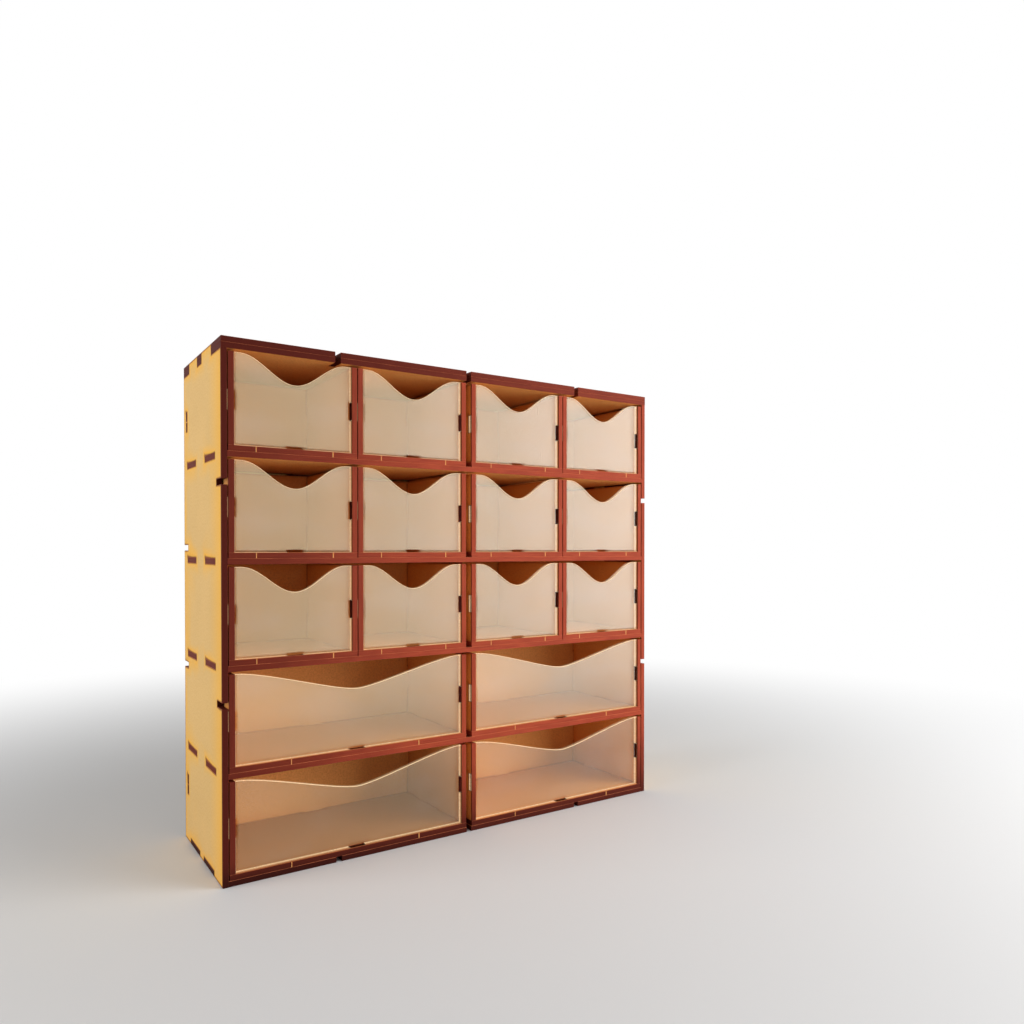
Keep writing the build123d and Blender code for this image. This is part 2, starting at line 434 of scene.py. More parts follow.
def board_face_material(settings, name, face, smoke_tone, speckle, burn, front_stain, foot_shade):
    """Raw fibreboard face, toasted beside every cut and burnt dark at the front. Painted shade darkens its
    underside toward the back, and the inner boards toward the foot on the stand's left.
    """
    material, tree, shader = new_material(name)
    place = sheet_coordinates(tree)
    fibre = effect(tree, pressed_fibre, {"Vector": place, "Fleck Scale": FACE_FLECKS})
    scorch = effect(tree, laser_scorch, {
        "Vector": place, "Distance": stored(tree, "cut_distance"),
        "Smoke": stored(tree, "smoke"), "Soot": stored(tree, "soot"),
        "Reach": settings.stain_reach / MM})
    cloud = fibre["Cloud"] * 0.6 + stored(tree, "tone") * 0.4
    colour = blend(cloud, face, [min(1.0, 1.1 * value) for value in face])
    for speck in ("Fleck", "Hair"):
        colour = blend(fibre[speck] * speckle, colour, settings.fleck)
    depth = stand_place(tree, 1) - cad_box[0].y
    band = (1.0 - maths("DIVIDE", depth, settings.front_reach, clamp=True)) ** 1.3
    stain = larger(scorch["Stain"], band * front_stain)
    colour = blend(stain * 0.85, colour, smoke_tone)
    colour = blend(scorch["Burn"] * burn, colour, settings.burn)
    upright = fade(abs(facing(tree, 0)), 0.5, 0.7)
    lip = upright * fade_out(depth, 0.8 * MM, 1.6 * MM)
    # Painted shade: faces that look down darken toward the back, under the boards.
    painted_underside_shade = fade_out(facing(tree, 2), -0.7, -0.5) * fade(depth, 20 * MM, 70 * MM, 0.0, 0.5)
    wiped = 1.0 - upright * fade_out(depth, 6 * MM, 14 * MM)
    # Soot on the side that lay below, the burnt lip at the front, and the painted underside shade, all in
    # the soot colour.
    soot = larger(scorch["Soot"] * wiped, larger(lip, painted_underside_shade))
    # Painted shade: the inner boards darken toward the foot on the stand's left half, on every face but
    # those looking forward or back.
    shade = fade_out(stand_place(tree, 2), 6 * MM, 56 * MM, foot_shade)
    shade = shade * fade_out(stand_place(tree, 0), -5 * MM, 5 * MM)
    shade = shade * fade_out(abs(facing(tree, 1)), 0.5, 0.7)
    feed(shader, {
        "Base Color": blend(larger(soot, shade), colour, settings.soot),
        "Roughness": scaled(fibre["Fleck"], 0.14, 0.6), "Specular IOR Level": 0.2,
        "Normal": bump(fibre["Height"], 0.04 * MM, 0.7)})
    return material


def board_cut_material(settings, name, reach, left_char, right_char):
    """Laser-burnt edge: layered streaks, and char that is deepest on the stand's left and at its foot,
    partly uneven burn and partly painted shade, with more painted shade along the foot.
    """
    material, tree, shader = new_material(name)
    place = sheet_coordinates(tree)
    layers = streaks(place, 45.0, 2100.0, detail=3.0, roughness=0.6)
    lines = streaks(place, 2600.0, 160.0)
    patches = streaks(place, 60.0, 240.0, detail=3.0)
    fibre = effect(tree, pressed_fibre, {"Vector": place, "Fleck Scale": CUT_FLECKS})
    warm = maths("ADD", fade(layers, 0.2, 0.8) * 0.6, fade(patches, 0.25, 0.75, 0.1, 0.4), clamp=True)
    colour = blend(warm, settings.char, settings.ember)
    colour = blend(fibre["Fleck"] * 0.2, colour, settings.char)
    low, high = cad_box
    across, up = stand_place(tree, 0), stand_place(tree, 2)
    # Painted shade as well as uneven burn: the char deepens toward the stand's left, away from the lamps on
    # the right, and toward the foot.
    char = fade(across, low.x, low.x + reach, left_char, right_char)
    char = larger(char, fade_out(up, low.z, low.z + 0.2 * high.z, 0.8))
    char = larger(char, stored(tree, "smoke") * 0.95)
    colour = blend(char, colour, settings.deep_char)
    # Painted shade: the cut edges darken toward the floor, more on the stand's left than on its right.
    painted_foot_shade = fade_out(up, 0.0, 14 * MM, 0.6) * fade(across, low.x, high.x, 1.0, 0.65)
    colour = blend(painted_foot_shade, colour, FOOT_SHADE_COLOUR)
    # Wear on the broken corners, with a painted highlight: corners facing up are much lighter than those
    # facing down.
    arris = fade(stored(tree, "arris"), 0.0, 0.5) * fade(facing(tree, 2), 0.2, 0.6, 0.15, 1.0)
    worn_and_lit = arris * fade(patches, 0.2, 0.75, 0.3, 0.9)
    feed(shader, {
        "Base Color": blend(worn_and_lit, colour, WORN_AND_LIT_CORNER),
        "Roughness": scaled(layers, 0.3, 0.4), "Specular IOR Level": 0.04,
        "Normal": bump(layers * 0.6 + lines * 0.4, 0.06 * MM, 0.6)})
    return material


def wall_distance(tree):
    """Distance in millimetres on a clear front to the walls and the floor of its drawer."""
    side = stored(tree, "half_width") - abs(stored(tree, "across"))
    return maths("MINIMUM", side, stored(tree, "rise"))


def clear_face_material(settings):
    """Clear acrylic with the faint haze, dust and hairlines of a handled sheet."""
    material, tree, shader = new_material("clear_acrylic_face")
    place = sheet_coordinates(tree)
    smears = fade(streaks(place, 60.0, 25.0, detail=3.0), 0.35, 0.75)
    dust = fade(noise(place, 2400.0, detail=1.0), 0.7, 0.8)
    hairline = fade(streaks(place, 30.0, 3200.0, detail=1.0), 0.74, 0.8)
    low, high = cad_box
    # Smears whiten the tint a little, and a painted sheen whitens it toward the stand's right, where the
    # lamps reflect.
    smears_and_sheen = fade(smears, 0.0, 1.0, 0.0, 0.1) + fade(stand_place(tree, 0), low.x, high.x, 0.0, 0.3)
    # The haze thins toward the foot, painting the weaker light on the lower fronts.
    level = fade(stand_place(tree, 2), low.z + 0.1 * high.z, low.z + 0.4 * high.z,
                 settings.low_haze, settings.haze)
    haze = (level + smears * 0.012) + (dust * 0.1 + hairline * 0.04)
    across, half_width = stored(tree, "across"), stored(tree, "half_width")
    open_part = fade(wall_distance(tree), 0.3, 1.6, 0.06, 1.0)
    beside_tab = abs(stored(tree, "from_tab")) - stored(tree, "tab_half")
    beside_foot = abs(across) - stored(tree, "foot_half")
    for beside, off, reach in (
            (beside_tab, half_width - across, 2.3), (beside_tab, half_width + across, 1.8),
            (beside_foot, stored(tree, "rise"), 1.8)):
        open_part = open_part * larger(fade(beside, -0.1, 0.2), fade(off, reach - 0.6, reach))
    feed(shader, {
        "Base Color": blend(smears_and_sheen, settings.tint, WHITE), "Alpha": haze * open_part,
        "Roughness": scaled(smears, 0.05, 0.3), "IOR": 1.49})
    return material


def clear_edge_material(settings):
    """Cut edge of the acrylic, with a painted glow for the light that the sheet carries."""
    material, tree, shader = new_material("clear_acrylic_edge")
    place = sheet_coordinates(tree)
    lines = streaks(place, 1800.0, 90.0)
    bands = fade(streaks(place, 120.0, 10.0), 0.3, 0.7)
    base = blend(bands, settings.edge, settings.tint)
    depth = stored(tree, "depth")
    from_wall = wall_distance(tree)
    # Lines where the edge shows with its painted glow: a painted glint along the front corner and a bright
    # line near the rear.
    rear_line = fade(depth, 0.3, 0.5) * fade_out(depth, 0.85, 1.0)
    span = fade(stored(tree, "rise"), 0.1, 0.4, 0.95, 0.45)
    front_line = fade_out(depth, span - 0.25, span)
    glint = fade_out(depth, 0.05, 0.1, 0.9)
    line = add(tree, "ShaderNodeMix", {
        0: fade_out(from_wall, 0.1, 0.4), 2: front_line, 3: larger(rear_line, glint)}, data_type="FLOAT")
    in_slot = fade_out(from_wall, -0.3, -0.05) * fade(from_wall, -2.9, -2.6)
    solid = fade(line, 0.0, 1.0, 0.16, 0.85) * (1.0 - in_slot * 0.85)
    # Painted glow: the edge's colour is also emitted, so the lines drawn on it shine.
    feed(shader, {
        "Base Color": base, "Emission Color": base, "Emission Strength": settings.glow,
        "Alpha": solid * fade(lines, 0.25, 0.75, 0.8, 1.0),
        "Roughness": fade(lines, 0.3, 0.7, 0.12, 0.3), "Normal": bump(lines, 0.03 * MM, 0.5)})
    return material


def torn_fibre_material(settings):
    """Pale torn fibre, toasted on the side where the cut began."""
    material, tree, shader = new_material("torn_fibre")
    fibre = effect(tree, pressed_fibre, {"Vector": stand_coordinates(tree), "Fleck Scale": TORN_FLECKS})
    side = stored(tree, "across") + fibre["Fleck"] * 0.3
    feed(shader, {
        "Base Color": blend(fade(side, -0.2, 0.7), settings.toasted, settings.fibre),
        "Roughness": 0.8, "Normal": bump(fibre["Height"], 0.05 * MM, 0.8)})
    return material


# Laser-cut sheets


# One board of a node: the axis through it, the heights of its two faces and their outlines.
Sheet = namedtuple("Sheet", "axis low high loops")


def connected_faces(bm):
    """Groups of faces that hang together, in a steady order."""
    left = {face.index: face for face in bm.faces}
    groups = []
    while left:
        group = []
        waiting = [left.pop(min(left))]
        while waiting:
            group.append(waiting.pop())
            for edge in group[-1].edges:
                waiting += [left.pop(other.index) for other in edge.link_faces if other.index in left]
        groups.append(group)
    return groups


def ends_of_runs(loops):
    """Where every straight run of the outlines starts and ends."""
    return np.concatenate(loops), np.concatenate([np.roll(loop, -1, axis=0) for loop in loops])


def directions(loop):
    """Unit directions of the runs that enter and that leave each corner of an outline."""
    entering = loop - np.roll(loop, 1, axis=0)
    entering /= np.linalg.norm(entering, axis=1)[:, None]
    return entering, np.roll(entering, -1, axis=0)


def cross(first, second):
    """Areas spanned by pairs of directions, negative where the second turns to the right."""
    return first[:, 0] * second[:, 1] - first[:, 1] * second[:, 0]


def straightened(loop):
    """An outline without the points that lie on a straight run."""
    least_turn = 1e-4
    return loop[np.abs(cross(*directions(loop))) > least_turn]


def outlines(group, axis, high):
    """Outlines of a sheet's upper face, each with the board on its left."""
    upper = {face.index: face for face in group
             if face.normal[axis] > 0.9 and abs(face.calc_center_median()[axis] - high) < MERGE}
    following = {corner.vert: corner.link_loop_next.vert for face in upper.values() for corner in face.loops
                 if corner.link_loop_radial_next.face.index not in upper}
    loops = []
    first, second = IN_PLANE[axis]
    while following:
        vert = min(following, key=lambda vert: vert.index)
        ring = []
        while vert in following:
            ring.append((vert.co[first], vert.co[second]))
            vert = following.pop(vert)
        loops.append(straightened(np.array(ring)))
    return loops


def sheets_of(node):
    """The sheets that a CAD node is made of."""
    bm = bmesh.new()
    bm.from_mesh(frame["nodes"][node].data)
    bmesh.ops.remove_doubles(bm, verts=bm.verts, dist=MERGE)
    bm.normal_update()
    bm.faces.index_update()
    found = []
    for group in connected_faces(bm):
        places = np.array([vert.co for face in group for vert in face.verts])
        low, high = places.min(0), places.max(0)
        axis = int(np.argmin(high - low))
        found.append(Sheet(axis, low[axis], high[axis], outlines(group, axis, high[axis])))
    bm.free()
    found.sort(key=lambda sheet: (sheet.axis, sheet.low))
    return found


def inset(loop, distance):
    """An outline moved into the board by a distance, with mitred corners."""
    left_before, left_after = (np.stack([-along[:, 1], along[:, 0]], axis=1) for along in directions(loop))
    share = 1 + (left_before * left_after).sum(axis=1)
    return loop + distance * (left_before + left_after) / share[:, None]


def distance_to_cut(points, loops):
    """Distance from each point to the nearest outline."""
    starts, ends = ends_of_runs(loops)
    runs = ends - starts
    offset = points[:, None] - starts
    along = (offset * runs).sum(axis=2) / (runs * runs).sum(axis=1)
    nearest = offset - np.clip(along, 0, 1)[..., None] * runs
    return np.sqrt((nearest * nearest).sum(axis=2)).min(axis=1)


def inside(points, loops):
    """Whether each point lies on the board."""
    starts, ends = ends_of_runs(loops)
    (start_x, start_y), (end_x, end_y) = starts.T, ends.T
    x, y = points[:, :1], points[:, 1:]
    rise = np.where(end_y == start_y, 1.0, end_y - start_y)
    meet = start_x + (y - start_y) * (end_x - start_x) / rise
    return (((start_y > y) != (end_y > y)) & (x < meet)).sum(axis=1) % 2 == 1


def well_inside(points, loops, margin):
    """Whether each point lies on the board, and further than a margin from its outlines."""
    return inside(points, loops) & (distance_to_cut(points, loops) > margin)


def area(loop):
    """Signed area of an outline: a hole's is negative."""
    return 0.5 * float(cross(loop, np.roll(loop, -1, axis=0)).sum())


def lead_in_corners(loops):
    """The corner of each hole where the laser started, which smoke darkens."""
    return [loop[np.argmax(loop.sum(axis=1))] for loop in loops if area(loop) < 0]


def smoke_at(points, corners):
    """How dark the smoke of the lead-in corners is at each point."""
    dark = np.zeros(len(points))
    for corner in corners:
        away = points - corner - 0.25 * SMOKE_REACH
        dark = np.maximum(dark, np.exp(-(away * away).sum(axis=1) / SMOKE_REACH ** 2))
    return dark


def face_guides(loops, reach, corners):
    """Points and runs inside a face that let the scorch follow its cuts."""
    points, runs = [], []
    for share in RING_SHARES:
        margin = 0.97 * share * reach
        for loop in loops:
            ring = inset(loop, share * reach)
            names = {}
            for place in np.flatnonzero(well_inside(ring, loops, margin)):
                names[place] = len(points)
                points.append(ring[place])
            middles = (ring + np.roll(ring, -1, axis=0)) / 2
            for place in np.flatnonzero(well_inside(middles, loops, margin)):
                ends = names.get(place), names.get((place + 1) % len(ring))
                if None not in ends:
                    runs.append(ends)
    smoky = np.reshape([corner + radius * np.array((math.cos(angle), math.sin(angle)))
                        for corner in corners for radius in SMOKE_RADII for angle in SMOKE_ANGLES], (-1, 2))
    points.extend(smoky[well_inside(smoky, loops, 0.05 * reach)])
    return points, runs


def lower_side(node, sheet):
    """Which face of a board lay below in the laser and took its smoke: 1 or -1 along its axis."""
    if sheet.axis == 2:
        return 1 if node.startswith(("shelf_", "top_board_1")) else -1
    in_drawer = node.startswith("drawer_")
    low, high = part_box(node) if in_drawer else cad_box
    outer = 1 if sheet.low + sheet.high > low[sheet.axis] + high[sheet.axis] else -1
    return outer if in_drawer else -outer


class BoardFinish:
    """What the materials of a board need to know at each of its points."""

    names = ("cut_distance", "smoke", "soot", "tone", "arris")

    def __init__(self, node, sheet, settings, tone):
        self.loops, self.tone = sheet.loops, tone
        self.arris, self.reach = settings.arris, settings.stain_reach
        self.corners = lead_in_corners(self.loops)
        self.lower = lower_side(node, sheet)

    def guides(self):
        """Points and runs that divide its faces."""
        return face_guides(self.loops, self.reach, self.corners)

    def values(self, places, depth, hole=False):
        """Stored values at places on the sheet, this share of the way through it."""
        if 0 < depth < 1:
            return {"tone": self.tone, "smoke": 1.0 if hole else 0.0}
        side = 1 if depth == 1 else -1
        return {
            "cut_distance": distance_to_cut(places, self.loops) / MM,
            "smoke": smoke_at(places, self.corners),
            "soot": 1.0 if side == self.lower else 0.0,
            "tone": self.tone,
            "arris": 1.0,
        }


class PaneFinish:
    """What the materials of a clear front need to know at each of its points."""

    names = ("across", "rise", "half_width", "depth", "from_tab", "tab_half", "foot_half")

    def __init__(self, sheet, settings):
        self.loops = [inset(loop, settings.kerf) for loop in sheet.loops]
        self.arris = settings.arris
        outline = self.loops[0]
        heights, sides = outline[:, 0], outline[:, 1]
        self.middle = (sides.min() + sides.max()) / 2
        from_middle = np.abs(sides - self.middle)
        self.half_width = max(from_middle[heights > heights.max() - MERGE])
        self.bottom = heights[np.abs(from_middle - self.half_width) < MERGE].min()
        tab = heights[from_middle > self.half_width + MERGE]
        self.tab_level, self.tab_half = (tab.min() + tab.max()) / 2, (tab.max() - tab.min()) / 2
        foot = sides[heights < self.bottom - MERGE]
        self.foot_half = (foot.max() - foot.min()) / 2

    def guides(self):
        """A clear front needs none."""
        return [], []

    def values(self, places, depth, hole=False):
        """Stored values in millimetres, and the share of the way through the sheet."""
        up, along = places[:, 0], places[:, 1]
        lengths = {"across": along - self.middle, "rise": up - self.bottom, "half_width": self.half_width,
                   "from_tab": up - self.tab_level, "tab_half": self.tab_half, "foot_half": self.foot_half}
        return {"depth": depth, **{name: length / MM for name, length in lengths.items()}}


def new_object(name, data):
    """An object put in the scene."""
    made = bpy.data.objects.new(name, data)
    bpy.context.scene.collection.objects.link(made)
    return made


def store(mesh, name, kind, field, values):
    """Stores one value for each point of a mesh under this name."""
    attribute = mesh.attributes.new(name, kind, "POINT")
    attribute.data.foreach_set(field, np.array(values, np.float32).ravel())


class SheetMesh:
    """Vertices, faces and stored values of the sheets that make one piece."""

    def __init__(self, names):
        self.points, self.faces, self.places, self.slots = [], [], [], []
        self.values = {name: [] for name in names}

    def add_points(self, points, values):
        """Adds points with their stored values and returns the number of the first."""
        first = len(self.points)
        self.points.extend(points)
        for name, kept in self.values.items():
            given = values.get(name, 0.0)
            kept.extend(given if np.ndim(given) else [given] * len(points))
        return first

    def add_face(self, corners, places, shift, slot):
        """Adds a face with its places on the sheet, counted from where the sheet's pattern starts."""
        self.faces.append(corners)
        self.places.extend((place[0] + shift[0], place[1] + shift[1]) for place in places)
        self.slots.append(slot)

    def piece(self, name, materials):
        """The finished object."""
        mesh = bpy.data.meshes.new(name)
        mesh.from_pydata([tuple(point) for point in self.points], [], self.faces)
        for material in materials:
            mesh.materials.append(material)
        mesh.polygons.foreach_set("material_index", self.slots)
        layer = mesh.uv_layers.new(name=SHEET_UV)
        layer.data.foreach_set("uv", np.array(self.places, np.float32).ravel())
        for label, kept in self.values.items():
            store(mesh, label, "FLOAT", "value", kept)
        mesh.validate()
        return new_object(name, mesh)


def in_space(places, axis, height):
    """Places on a sheet at a height along its axis."""
    points = np.zeros((len(places), 3))
    points[:, list(IN_PLANE[axis])] = places
    points[:, axis] = height
    return points


def add_rims(made, sheet, finish, shift):
    """The cut edges of a sheet with their broken corners. Returns where each face's outline starts."""
    thickness = sheet.high - sheet.low
    # A rim's four rows of points: how deep each lies in the sheet, and how far in from the cut edge.
    depths = (0.0, finish.arris, thickness - finish.arris, thickness)
    margins = (finish.arris, 0.0, 0.0, finish.arris)
    starts = []
    for loop in finish.loops:
        rows = []
        for depth, margin in zip(depths, margins):
            line = inset(loop, margin) if margin else loop
            rows.append(made.add_points(in_space(line, sheet.axis, sheet.low + depth),
                                        finish.values(line, depth / thickness, area(loop) < 0)))
        steps = np.linalg.norm(np.roll(loop, -1, axis=0) - loop, axis=1)
        run = np.concatenate([[0.0], np.cumsum(steps)])
        count = len(loop)
        for place in range(count):
            after = (place + 1) % count
            for row, (lower, upper) in enumerate(zip(rows, rows[1:])):
                spans = ((place, row), (place + 1, row), (place + 1, row + 1), (place, row + 1))
                made.add_face((lower + place, lower + after, upper + after, upper + place),
                              [(run[at], depths[deep]) for at, deep in spans], shift, 1)
        starts.append((rows[0], rows[-1], count))
    return starts


def filled_face(rims, guides):
    """Triangles that fill a face between its outlines, and which of their points lie on those."""
    edges, first = [], 0
    for rim in rims:
        count = len(rim)
        edges += [(first + place, first + (place + 1) % count) for place in range(count)]
        first += count
    points, runs = guides
    edges += [(first + start, first + end) for start, end in runs]
    given = np.concatenate([*rims, np.reshape(points, (-1, 2))])
    places, _, triangles, origins, _, _ = delaunay_2d_cdt(
        [Vector(place / MM) for place in given], edges, [], 0, 1e-5, True)
    places = np.array([(place.x, place.y) for place in places]) * MM
    on_board = inside(places[np.array(triangles)].mean(axis=1), rims)
    kept = [triangle for triangle, on in zip(triangles, on_board) if on]
    rim_numbers = {at: min(origin) for at, origin in enumerate(origins) if origin and min(origin) < first}
    return places, kept, rim_numbers


def add_faces(made, sheet, finish, starts, shift):
    """The two faces of a sheet, divided along the guides."""
    rims = [inset(loop, finish.arris) for loop in finish.loops]
    places, triangles, rim_numbers = filled_face(rims, finish.guides())
    spare = [at for at in range(len(places)) if at not in rim_numbers]
    for upper in (False, True):
        height = sheet.high if upper else sheet.low
        on_rim = [(high if upper else low) + place for low, high, count in starts for place in range(count)]
        names = {at: on_rim[number] for at, number in rim_numbers.items()}
        begin = made.add_points(in_space(places[spare], sheet.axis, height),
                                finish.values(places[spare], 1.0 if upper else 0.0))
        names.update({at: begin + number for number, at in enumerate(spare)})
        for triangle in triangles:
            order = triangle if upper else triangle[::-1]
            made.add_face([names[at] for at in order], places[list(order)], shift, 0)


def sheet_piece(node, name, materials, finish_of, seed):
    """Replaces a CAD node by its sheets with fine corners and what their materials need to know."""
    draw = random.Random(seed)
    made = None
    for sheet in sheets_of(node):
        shift = (draw.uniform(0, SHEET_SPREAD), draw.uniform(0, SHEET_SPREAD))
        finish = finish_of(sheet, draw.uniform(0, 1))
        made = made or SheetMesh(finish.names)
        starts = add_rims(made, sheet, finish, shift)
        add_faces(made, sheet, finish, starts, shift)
    if made is None:
        raise RuntimeError(f"{node} gave no sheets")
    piece = made.piece(name, materials)
    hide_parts(node)
    return piece


def once(build, settings, name, **choices):
    """The material of this name, made at its first use."""
    return bpy.data.materials.get(name) or build(settings, name, **choices)


def board_materials(settings, inner, charred_and_shaded):
    """The face and the cut edge of a board."""
    width = cad_box[1].x - cad_box[0].x
    # Inner boards take the face and stain colours painted for the shade inside the stand.
    if inner:
        face = once(
            board_face_material, settings, "fibreboard_inner_face", face=settings.inner_face,
            smoke_tone=settings.inner_stain, speckle=0.32, burn=0.35, front_stain=0.0, foot_shade=0.42)
    else:
        face = once(
            board_face_material, settings, "fibreboard_face", face=settings.face,
            smoke_tone=settings.stain, speckle=0.14, burn=0.9, front_stain=0.9, foot_shade=0.0)
    # The darker cut material is deeper burn together with painted shade; the left side board takes it and
    # the right one does not.
    if charred_and_shaded:
        cut = once(board_cut_material, settings, "fibreboard_charred_cut",
                   reach=width, left_char=0.97, right_char=0.5)
    else:
        cut = once(board_cut_material, settings, "fibreboard_cut",
                   reach=0.45 * width, left_char=0.75, right_char=0.0)
    return face, cut


def dress_boards(context, body, *starts, inner=False, charred_and_shaded=False):
    """Replaces the boards whose names start like this, and lets the new ones ride on their body."""
    settings = context.scene.stand_boards
    nodes = sorted(frame["nodes"])
    found = [node for node in nodes if node.startswith(starts)]
    if not found:
        raise RuntimeError(f"the frame has no node named {starts}")
    for node in found:
        piece = sheet_piece(
            node, f"{node}_board", board_materials(settings, inner, charred_and_shaded),
            lambda sheet, tone: BoardFinish(node, sheet, settings, tone), seed=nodes.index(node))
        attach(piece, body)


class StandSideBoards(bpy.types.Operator):
    """Make the two side boards, with their mortises and key notches"""

    bl_idname = "stand.side_boards"
    bl_label = "Side boards"

    def execute(self, context):
        dress_boards(context, CASE, "side_left", charred_and_shaded=True)
        dress_boards(context, CASE, "side_right")
        return {"FINISHED"}


class StandLevelBoards(bpy.types.Operator):
    """Make the double top, the bottom board and the four shelves"""

    bl_idname = "stand.level_boards"
    bl_label = "Level boards"

    def execute(self, context):
        dress_boards(context, CASE, "top_board_2", "bottom_board", charred_and_shaded=True)
        dress_boards(context, CASE, "top_board_1", inner=True, charred_and_shaded=True)
        dress_boards(context, CASE, "shelf_", inner=True)
        return {"FINISHED"}


class StandUprights(bpy.types.Operator):
    """Make the centre divider and the back panel"""

    bl_idname = "stand.uprights"
    bl_label = "Divider and back"

    def execute(self, context):
        dress_boards(context, CASE, "back_panel", charred_and_shaded=True)
        dress_boards(context, CASE, "centre_divider", inner=True)
        return {"FINISHED"}


class StandDrawerBoxes(bpy.types.Operator):
    """Make the floor and the three walls of every drawer"""

    bl_idname = "stand.drawer_boxes"
    bl_label = "Drawer boxes"

    def execute(self, context):
        for drawer in DRAWERS:
            dress_boards(context, drawer, f"{drawer}_floor", f"{drawer}_walls", inner=True)
        return {"FINISHED"}


class StandClearFronts(bpy.types.Operator):
    """Make the clear front of every drawer, with its dipped edge"""

    bl_idname = "stand.clear_fronts"
    bl_label = "Clear fronts"

    def execute(self, context):
        settings = context.scene.stand_clear
        materials = [clear_face_material(settings), clear_edge_material(settings)]
        for number, drawer in enumerate(DRAWERS):
            piece = sheet_piece(
                f"{drawer}_front", f"{drawer}_pane", materials,
                lambda sheet, tone: PaneFinish(sheet, settings), seed=PANE_SEED + number)
            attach(piece, drawer)
        return {"FINISHED"}


# Break marks


def break_mark_tree():
    """A node tree that lays a rough ridge of torn fibre on every point."""
    tree, given, result = new_group(
        "break_marks", "GeometryNodeTree",
        [("Geometry", "Geometry"), ("Length", "Float"), ("Width", "Float"), ("Proud", "Float"),
         ("Seed", "Int"), ("Material", "Material")],
        [("Geometry", "Geometry")])
    half = given["Length"] * 0.5
    top = add(tree, "ShaderNodeCombineXYZ", {2: half})
    foot = add(tree, "ShaderNodeCombineXYZ", {2: half * -1.0})
    spine = add(tree, "GeometryNodeCurvePrimitiveLine", {"Start": foot, "End": top})
    spine = add(tree, "GeometryNodeResampleCurve", {"Curve": spine, "Count": 9})
    ring = add(tree, "GeometryNodeCurvePrimitiveCircle", {"Resolution": 10, "Radius": 1.0})
    ridge = add(tree, "GeometryNodeCurveToMesh", {"Curve": spine, "Profile Curve": ring, "Fill Caps": True})
    across = add(tree, "ShaderNodeSeparateXYZ", {0: add(tree, "GeometryNodeInputPosition")})
    named = add(tree, "GeometryNodeStoreNamedAttribute", {
        "Geometry": ridge, "Name": "across", "Value": across}, data_type="FLOAT", domain="POINT")
    scale = add(tree, "ShaderNodeCombineXYZ", {0: given["Width"] * 0.5, 1: given["Proud"], 2: 1.0})
    flat = add(tree, "GeometryNodeTransform", {"Geometry": named, "Scale": scale})
    along, out = (add(tree, "GeometryNodeInputNamedAttribute", {"Name": name}, data_type="FLOAT_VECTOR")
                  for name in ("along", "out"))
    turn = add(tree, "FunctionNodeAxesToRotation", {"Primary Axis": along, "Secondary Axis": out},
               primary_axis="Z", secondary_axis="Y")
    uneven = add(tree, "FunctionNodeRandomValue", {
        0: (0.7, 0.75, 1.0), 1: (1.25, 1.2, 1.0), "Seed": given["Seed"]}, data_type="FLOAT_VECTOR")
    placed = add(tree, "GeometryNodeInstanceOnPoints", {
        "Points": given["Geometry"], "Instance": flat, "Rotation": turn, "Scale": uneven})
    real = add(tree, "GeometryNodeRealizeInstances", {"Geometry": placed})
    grain = add(tree, "ShaderNodeTexNoise", {"Scale": 1800.0, "Detail": 2.0})["Color"]
    centred = vector_maths("SUBTRACT", grain, (0.5, 0.5, 0.5))
    push = add(tree, "ShaderNodeVectorMath", {0: centred, "Scale": given["Proud"]}, operation="SCALE")
    rough = add(tree, "GeometryNodeSetPosition", {"Geometry": real, "Offset": push})
    painted = add(tree, "GeometryNodeSetMaterial", {"Geometry": rough, "Material": given["Material"]})
    feed(result, {"Geometry": painted})
    return tree


def drawer_marks(drawer, settings):
    """Place, run and outward direction of the marks on the ends of a drawer's floor."""
    low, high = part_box(f"{drawer}_floor")
    small = drawer.startswith(("drawer_r1", "drawer_r2", "drawer_r3"))
    step = settings.small_inset if small else settings.large_inset
    level = (low.z + high.z) / 2
    return [((x, y, level), (0, 0, 1), (0, out, 0))
            for x in (low.x + step, high.x - step) for y, out in ((low.y, -1), (high.y, 1))]


def case_marks():
    """Marks on the ends of the back panel's tabs and along the rear edges of the sides."""
    low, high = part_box("back_panel")
    side_low, side_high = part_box("side_left")
    middle = (low.y + high.y) / 2
    loops = sheets_of("back_panel")[0].loops
    outline = next(loop for loop in loops if abs(loop[:, 1].min() - low.x) < MERGE)
    ends = sorted({round(float(height), 5) for height in outline[:, 0]})[1:-1]
    marks = [((x, middle, level), (0, 1, 0), (out, 0, 0))
             for level in ((ends[0] + ends[1]) / 2, (ends[-2] + ends[-1]) / 2)
             for x, out in ((low.x, -1), (high.x, 1))]
    half_board = (side_high.x - side_low.x) / 2
    for x in (low.x + half_board, high.x - half_board):
        for share in MARK_HEIGHTS:
            level = side_low.z + share * (side_high.z - side_low.z)
            marks.append(((x, side_high.y, level), (1, 0, 0), (0, 1, 0)))
    return marks


